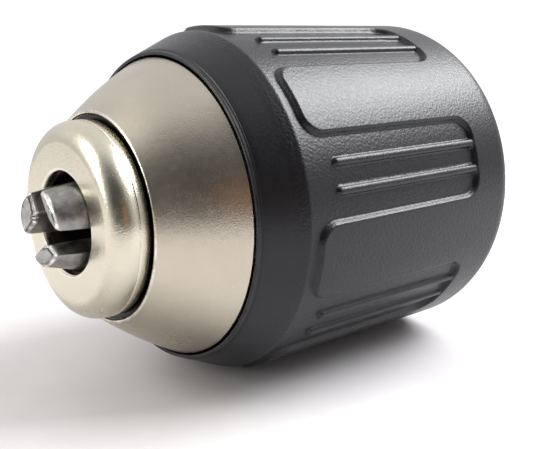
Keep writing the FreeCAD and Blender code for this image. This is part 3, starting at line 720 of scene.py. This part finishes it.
def makeShell(s):
    # A sheet cone from its rear rim to a rolled front edge, then a flange under the cap,
    # the inside of the cone and a skirt. The cone swells by bulge * sin(pi * the share of
    # the way along), and all that isn't its outside is painted dark as shade.
    rim, front = shellRadius, shellFront
    small = capRadius + s["gapToCap"]
    slope = math.tan(math.radians(s["coneAngle"]))
    rimForward = front - (rim - small) / slope
    skirt = rim - s["rimOverhang"]
    wall = s["sheet"] / math.cos(math.radians(s["coneAngle"]))
    flange = capRear - s["flangePlay"]
    flangeInner = capRadius - s["flangeReach"]
    corners = [
        (rim, rimForward, 0.12), (small, front, s["lipRound"]), (small, flange, 0.1),
        (flangeInner, flange, 0.05), (flangeInner, flange - s["sheet"], 0.05),
        (small + (front - flange + s["sheet"]) * slope - wall, flange - s["sheet"], 0.1),
        (skirt - s["sheet"], rimForward - 0.9 * s["sheet"], 0.1),
        (skirt - s["sheet"], shellRear, 0.05), (skirt, shellRear, 0.15),
        (skirt, rimForward - s["rimWidth"], 0.02), (rim, rimForward - s["rimWidth"], 0.1)]

    def isOutside(radius, forward):
        return radius > small + (front - forward) * slope - 0.5 * wall

    def swell(radius, forward):
        k = np.clip((forward - rimForward) / (front - rimForward), 0, 1)
        return s["bulge"] * np.sin(math.pi * k) * isOutside(radius, forward)

    # painted shade on all of the shell but the outside of its cone
    def paintedShadeInside(radius, forward):
        return 1.0 - (isOutside(radius, forward) & (radius > small + 0.03))

    return turnedPiece("noseShell", corners, finishes["nickelShell"], around=320,
                       bulge=swell, paintedShadeInside=paintedShadeInside)


cap = {
    "sheet": 0.9, "shoulder": 2.0, "hole": 5.15, "holeRound": 0.28,
    "stepBack": 0.5,        # the step line, in front of the shell
    "stepDepth": 0.07, "stepRound": 0.03,
    "frontInset": 0.02,     # of the side in front of the step line
    "shadeFrom": 0.3, "shadeFade": 0.25,      # painted shade on the cap, from behind the shell's front
}


def makeCap(c):
    # a flat face, a rounded shoulder, a thin step line round the side and a short skirt,
    # painted dark as shade where it is inside the shell
    inner = capRadius - c["sheet"]
    outer = capRadius - c["frontInset"]
    line = capRadius - c["stepDepth"]
    step = shellFront + c["stepBack"]
    corners = [
        (c["hole"], capFace, c["holeRound"]), (outer, capFace, c["shoulder"]),
        (outer, step + 0.1, c["stepRound"]), (line, step + 0.04, c["stepRound"]),
        (line, step - 0.04, c["stepRound"]), (capRadius, step - 0.1, c["stepRound"]),
        (capRadius, capRear, 0.1), (inner, capRear, 0.05),
        (inner, capFace - c["sheet"], c["shoulder"] - c["sheet"]),
        (c["hole"], capFace - c["sheet"], 0.1)]

    # painted shade on the cap inside the shell, fading in behind the shell's front
    def paintedShadeInside(radius, forward):
        return smooth((shellFront - c["shadeFrom"] - forward) / c["shadeFade"])

    return turnedPiece("noseCap", corners, finishes["nickelCap"], paintedShadeInside=paintedShadeInside)


finishPiece(makeShell(shell), "sleeve", "nickel_shell", "nose_shell")
finishPiece(makeCap(cap), "body", "nickel_cap", "nose_cap")

# jaws
jawMade = {
    "turn": 42.7, "lean": 15.0, "radius": 3.0, "halfOpening": 1.85,
    "apex": 54.55,              # where the jaws' own lines meet on the axis
    "tip": 51.4, "rear": 20.3, "chamfer": 0.3,
    "landHalf": 0.6, "landGroove": 0.16, "groovedShare": 0.8,
    "flankAngle": 30.0,         # between a flank and the land
    "pitch": 1.6, "threadStart": 23.6, "toothedFrom": 44.3,
    "toothDepth": 0.75, "gapOuter": 1.0, "gapInner": 0.35,
    "softness": 0.022, "around": 192,
}


def jawStations(j, turn):
    # Stations are counted back along the rod from its tip plane, which passes through
    # the land's tip, tipBack from where the rod meets the axis. Tooth gaps come every
    # pitch / cos(lean), where the nut's thread passes this jaw, and a station stands at
    # each corner of a gap. inset draws the ends in to flat faces with rounded edges.
    lean = math.radians(j["lean"])
    c, s = math.cos(lean), math.sin(lean)
    tipBack = j["halfOpening"] * s + (j["apex"] - j["tip"]) * c
    toRod = j["radius"] * s / c - tipBack
    rodLength = (j["apex"] - j["rear"]) / c - tipBack
    step = j["pitch"] / c
    thread = j["threadStart"] + j["pitch"] * turn / (2 * math.pi)
    toothed = (j["apex"] - j["toothedFrom"]) / c + toRod
    firstGap = (j["apex"] - thread) / c + toRod
    firstGap -= math.floor((firstGap - toothed) / step) * step
    gaps = firstGap + np.arange(int((rodLength - firstGap) / step) + 2) * step
    outer, inner, ease = j["gapOuter"] / 2, j["gapInner"] / 2, 0.02
    offsets = np.array([-outer - ease, -outer + ease, -inner, inner, outer - ease,
                        outer + ease])
    gapSteps = (gaps[:, None] + offsets).ravel()
    gapSteps = gapSteps[gapSteps < rodLength - 0.06]
    chamfer = j["chamfer"]
    steps = np.concatenate([[0.0, 0.0, 0.0, chamfer * 0.4, chamfer, chamfer, chamfer * 2],
                            np.arange(1.0, firstGap - 0.7, 0.5), gapSteps,
                            [rodLength] * 2])
    inset = np.zeros(len(steps))
    inset[:5] = [0.6, 0.24, chamfer, chamfer * 0.55, 0.02]
    inset[-2:] = [0.5, 0.05]
    away = np.abs(((steps - firstGap) / step + 0.5) % 1.0 - 0.5) * step
    depth = np.interp(away, [inner, outer - ease, outer + ease], [j["toothDepth"], 0.03, 0])
    isToothed = steps > firstGap - 0.7
    return [w[:, None] for w in (tipBack + steps, inset, depth * isToothed, isToothed)]


def jawSection(j, centreAcross, middle, depth, cosine, sine):
    # The section's radius, seen from a point inside the jaw, is the soft least of four,
    # -k * log(sum of exp(-w / k)): the rod, the land, the two flanks beside it and the
    # floor of a tooth gap, which follows the nut's bore and so curves across the jaw.
    # Where more than one counts there is an edge.
    c = math.cos(math.radians(j["lean"]))
    far = 50.0
    shift = (middle - centreAcross) / c
    rod = -shift * cosine + np.sqrt(
        np.maximum(j["radius"] ** 2 - (shift * sine) ** 2, 0.01))
    toLand = middle - j["halfOpening"]
    land = np.where(cosine < 0, toLand / np.maximum(-cosine * c, 1e-4), far)
    tilt = math.tan(math.radians(j["flankAngle"]))
    leaning = np.maximum(tilt * np.abs(sine) - cosine * c, 1e-4)
    flank = (toLand + tilt * j["landHalf"]) / leaning
    groove = land * np.abs(sine) / (j["landHalf"] * j["groovedShare"])
    land = land - np.where((cosine < 0) & (groove < 1),
                           j["landGroove"] * (0.5 - 0.5 * np.cos(groove * 2 * math.pi)), 0)
    outside = centreAcross + j["radius"] * c
    tooth = np.full(rod.shape, far)
    for again in range(4):      # each round brings the curved floor nearer
        sideways = np.minimum(rod, tooth) * sine
        floor = j["radius"] - depth - sideways ** 2 * c / (2 * outside)
        tooth = np.where(cosine > 0, (floor - shift) / np.maximum(cosine, 1e-4), far)
    tooth = np.where(depth > 0.01, tooth, far)
    k = j["softness"]
    least = np.minimum(np.minimum(rod, land), np.minimum(flank, tooth))
    total = sum(np.exp(-(w - least) / k) for w in (rod, land, flank, tooth))
    return least - k * np.log(total), smooth((total - 1.05) / 0.6)


def makeJaw(j, number):
    # A rod leaning on the axis, its sections square to it. The teeth climb as the thread
    # does, one pitch a turn, by sliding along the rod.
    turn = math.radians(j["turn"] + 120.0 * number)
    lean = math.radians(j["lean"])
    c, s = math.cos(lean), math.sin(lean)
    u, inset, depth, isToothed = jawStations(j, turn)
    phi = np.arange(j["around"]) * (2 * math.pi / j["around"])
    cosine, sine = np.cos(phi), np.sin(phi)
    centreAcross = u * s
    middle = np.maximum(centreAcross,
                        (j["halfOpening"] + centreAcross + j["radius"] * c) / 2)
    radius, edge = jawSection(j, centreAcross, middle, depth, cosine, sine)
    radius = radius * (1 - inset / np.maximum(radius, 0.7))
    edge[2:5] = 1.0     # round the tip
    across = middle + radius * cosine * c
    aside = radius * sine
    back = u * c - ((middle - centreAcross) / c + radius * cosine) * s
    turned = np.arctan2(aside, np.maximum(across, 1.0))
    climb = isToothed * turned * j["pitch"] / (2 * math.pi)
    across = across - climb * s / c
    forward = j["apex"] - back + climb
    x = across * math.cos(turn) - aside * math.sin(turn)
    z = across * math.sin(turn) + aside * math.cos(turn)
    grid = np.stack([x, -forward, z], -1) * mm
    return closedGrid(f"jaw{number + 1}", grid, finishes["groundJaw"], edge, capped=True)


for number in range(3):
    finishPiece(makeJaw(jawMade, number), f"jaw_{number + 1}", "jaw_steel",
                f"jaw_{number + 1}")

# rear cover and snap ring
coverRadius, coverRear, _ = reachOf("rear_cover")
snapRadius, snapRear, snapFront = reachOf("snap_ring")

cover = {
    "bore": 9.3, "sheet": 0.8, "dish": 0.6,
    "bendAt": 0.5,          # share of the way out to the rim
    "bendRound": 0.5, "innerRound": 0.4,
}


def makeCover(c):
    # a dished plate: flat round the tail, a slope of 45 degrees, and a flat rim
    bend = c["bore"] + (coverRadius - c["bore"]) * c["bendAt"]
    rear, sheet, dish = coverRear, c["sheet"], c["dish"]
    inside = bend - c["sheet"] / 2
    corners = [
        (c["bore"], rear, 0.15), (bend, rear, c["bendRound"]),
        (bend + dish, rear + dish, c["bendRound"]), (coverRadius, rear + dish, 0.25),
        (coverRadius, rear + dish + sheet, 0.1),
        (inside + dish, rear + dish + sheet, c["innerRound"]),
        (inside, rear + sheet, c["innerRound"]), (c["bore"], rear + sheet, 0.08)]
    return turnedPiece("rearCover", corners, finishes["zincPlate"], around=256)


snap = {"inner": 8.8, "opening": 60.0, "round": 0.22, "around": 220}


def makeSnap(s):
    # a rounded square section carried round, open at the bottom, with closed ends
    corners = [(s["inner"], snapRear, s["round"]), (snapRadius, snapRear, s["round"]),
               (snapRadius, snapFront, s["round"]), (s["inner"], snapFront, s["round"])]
    path, bend = roundedOutline(corners, 5, 0.03)
    gap = math.radians(s["opening"])
    angle = np.linspace(-math.pi / 2 + gap / 2, 1.5 * math.pi - gap / 2, s["around"])
    grid = toFrame(path[:, 0], path[:, 1], angle[:, None])
    return closedGrid("snapRing", grid, finishes["bluedSpring"],
                      np.repeat(bend[None, :], s["around"], 0), capped=True)


finishPiece(makeCover(cover), "body", "zinc_plate", "rear_cover")
finishPiece(makeSnap(snap), "body", "spring_steel", "snap_ring")

# camera, floor and light
cameraMade = {
    "turn": 49.56, "drop": 13.16, "distance": 0.095, "lens": 55.94,
    "aimAside": 0.0033, "aimForward": 0.0255, "aimDown": 0.0031,
}


def makeCamera(c):
    # looks along turn and drop at the aim point, from the distance back
    turn, drop = math.radians(c["turn"]), math.radians(c["drop"])
    look = Vector((-math.sin(turn) * math.cos(drop), math.cos(turn) * math.cos(drop),
                   -math.sin(drop)))
    data = bpy.data.cameras.new("camera")
    data.lens = c["lens"]
    data.sensor_width = 36
    data.clip_start, data.clip_end = 0.01, 20
    camera = bpy.data.objects.new("camera", data)
    camera.location = Vector((c["aimAside"], -c["aimForward"], -c["aimDown"])) \
        - look * c["distance"]
    camera.rotation_euler = look.to_track_quat("-Z", "Y").to_euler()
    bpy.context.scene.collection.objects.link(camera)
    bpy.context.scene.camera = camera


paper = {
    "size": 1.2, "count": 60, "flatTo": 0.5, "sag": 0.02, "roughness": 0.8, "mottle": 90.0,
    "colour": (0.67, 0.655, 0.66, 1), "paleColour": (0.71, 0.69, 0.695, 1),
    "fadeFrom": 0.10, "fadeTo": 0.42,
}


def makeFloor(p):
    # a wide pale sheet of paper, flat under the chuck, that sags a little further out and
    # fades into the white behind it
    side = np.linspace(-p["size"], p["size"], p["count"])
    x, y = np.meshgrid(side, side)
    z = cadBox[0].z - p["sag"] * smooth((np.hypot(x, y) - p["flatTo"]) / p["size"])
    index = np.arange(p["count"] ** 2).reshape(p["count"], p["count"])
    quads = np.stack([index[:-1, :-1], index[:-1, 1:], index[1:, 1:], index[1:, :-1]], -1)
    material, tree, shader, place = startMaterial("palePaper")
    shader.inputs["Roughness"].default_value = p["roughness"]
    tint = ramp(tree, noise(tree, place, p["mottle"], 4.0, 0.6), 0.3, 0.7)
    tree.links.new(mixColour(tree, tint, p["colour"], p["paleColour"]),
                   shader.inputs["Base Color"])
    farOff = addNode(tree, "ShaderNodeVectorMath", {"operation": "LENGTH"}, i0=place)
    tree.links.new(ramp(tree, farOff.outputs["Value"], p["fadeFrom"], p["fadeTo"], 1.0, 0.0),
                   shader.inputs["Alpha"])
    floor = makeObject("floor", np.stack([x, y, z], -1).reshape(-1, 3),
                       quads.reshape(-1, 4).tolist(), material)


lights = {
    "backSoftbox": {"place": (0.14, 0.29, 0.36), "width": 0.34, "height": 0.27,
                    "power": 3.9, "colour": (0.97, 0.98, 1.0)},
    "frontSoftbox": {"place": (-0.20, -0.46, 0.24), "width": 0.16, "height": 0.42,
                     "power": 1.6, "colour": (1.0, 0.97, 0.90)},
}
lightsAim = (0, -0.025, 0)


def makeLight(name, box):
    # a softbox turned to face the chuck
    data = bpy.data.lights.new(name, "AREA")
    data.shape = "RECTANGLE"
    data.size, data.size_y = box["width"], box["height"]
    data.energy = box["power"]
    data.color = box["colour"]
    light = bpy.data.objects.new(name, data)
    light.location = box["place"]
    facing = Vector(lightsAim) - Vector(box["place"])
    light.rotation_euler = facing.to_track_quat("-Z", "Y").to_euler()
    bpy.context.scene.collection.objects.link(light)


studio = {
    "low": 0.75, "high": 0.98, "colour": (0.985, 0.98, 1.0), "fill": 1.2, "backdrop": 1.06,
    "darkTowards": (0.78, -0.58, 0.22), "darkFrom": 0.25, "darkTo": 0.90, "darkLevel": 0.09,
    "warmTowards": (0.955, -0.22, 0.19), "warmFrom": 0.965, "warmTo": 0.99,
    "warmColour": (0.40, 0.19, 0.085, 1),
}


def makeWorld(w):
    # A pale room, brighter overhead, dark on the side it is looked at from, with one
    # small warm patch there. What is looked at straight is plain white.
    world = bpy.data.worlds.new("studio")
    bpy.context.scene.world = world
    world.use_nodes = True
    tree = world.node_tree
    background = tree.nodes["Background"]
    rays = tree.nodes.new("ShaderNodeLightPath")
    place = tree.nodes.new("ShaderNodeTexCoord").outputs["Generated"]
    parts = addNode(tree, "ShaderNodeSeparateXYZ", None, Vector=place)
    light = ramp(tree, parts.outputs[2], -0.1, 0.6, w["low"], w["high"])

    def towards(direction):     # 1 straight that way, 0 across it
        return addNode(tree, "ShaderNodeVectorMath", {"operation": "DOT_PRODUCT"},
                       i0=place, i1=direction).outputs["Value"]

    dark = ramp(tree, towards(w["darkTowards"]), w["darkFrom"], w["darkTo"], 1.0,
                w["darkLevel"])
    light = mathNode(tree, "MULTIPLY", light, dark)
    fill = ramp(tree, rays.outputs["Is Diffuse Ray"], 0.0, 1.0, 1.0, w["fill"])
    light = mathNode(tree, "MULTIPLY", light, fill)
    warm = ramp(tree, towards(w["warmTowards"]), w["warmFrom"], w["warmTo"])
    grey = addNode(tree, "ShaderNodeVectorMath", {"operation": "SCALE"},
                   i0=w["colour"], Scale=light).outputs[0]
    colour = mixColour(tree, warm, grey, w["warmColour"])
    white = (w["backdrop"],) * 3 + (1.0,)
    colour = mixColour(tree, rays.outputs["Is Camera Ray"], colour, white)
    tree.links.new(colour, background.inputs["Color"])


makeCamera(cameraMade)
makeFloor(paper)
for name, light in lights.items():
    makeLight(name, light)
makeWorld(studio)
bpy.context.scene.view_settings.view_transform = "Standard"
print("camera, floor and light made")
